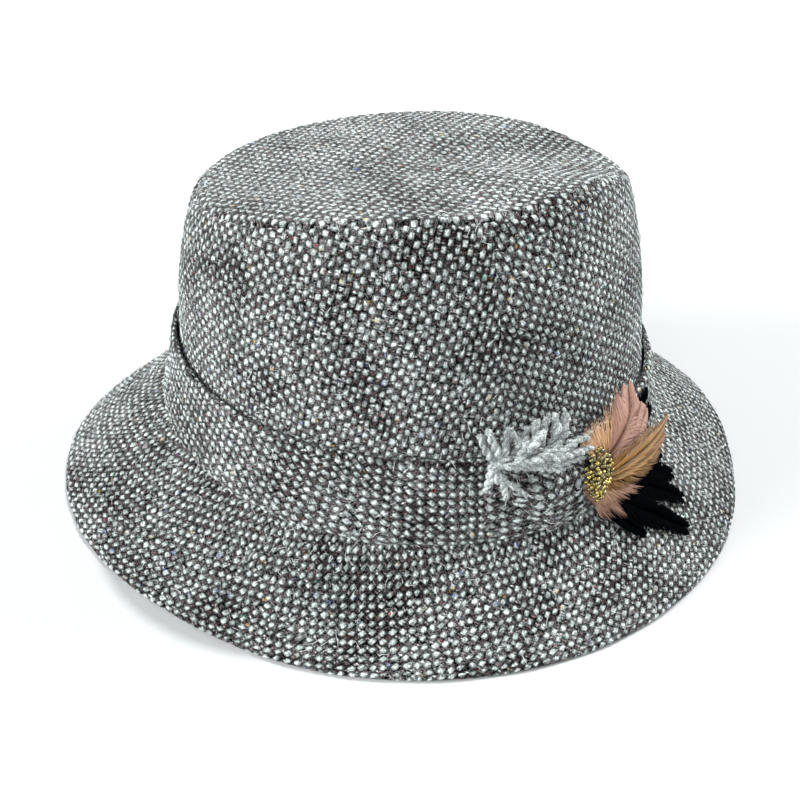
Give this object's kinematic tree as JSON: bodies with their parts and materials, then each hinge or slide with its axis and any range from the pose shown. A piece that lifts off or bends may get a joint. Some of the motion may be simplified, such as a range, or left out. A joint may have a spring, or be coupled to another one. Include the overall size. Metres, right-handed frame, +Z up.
{
  "type": "irish walking hat",
  "caption": "Soft tweed walking hat with a sloping stitched brim, an oval flat-topped crown, a folded band and a feather and bead trim.",
  "frame": {"origin": "on the resting surface, under the middle of the brim's outline", "axes": "+Z up, -Y the front of the hat, +X the wearer's left, where the feathers are"},
  "size_m": [0.258, 0.2656, 0.1238],
  "materials": {
    "tweed": "salt and pepper wool tweed, plain weave with coloured flecks",
    "wool_yarn": "frayed pale two-ply wool",
    "black_feather": "matte black barbs",
    "rose_feather": "soft rose-brown vane with downy edges",
    "gold_feather": "glossy gold-brown vane",
    "tuft_feather": "short pinkish-brown down",
    "glass_beads": "olive-gold glass beads, glossy"
  },
  "bodies": {
    "root": {"crown_tip": "tweed", "crown_side": "tweed", "brim": "tweed", "hat_band": "tweed", "band_fold": "tweed", "yarn_fringe": "wool_yarn", "black_feathers": "black_feather", "rose_feather": "rose_feather", "gold_feather": "gold_feather", "feather_tuft": "tuft_feather", "bead_cluster": "glass_beads"}
  },
  "joints": []
}
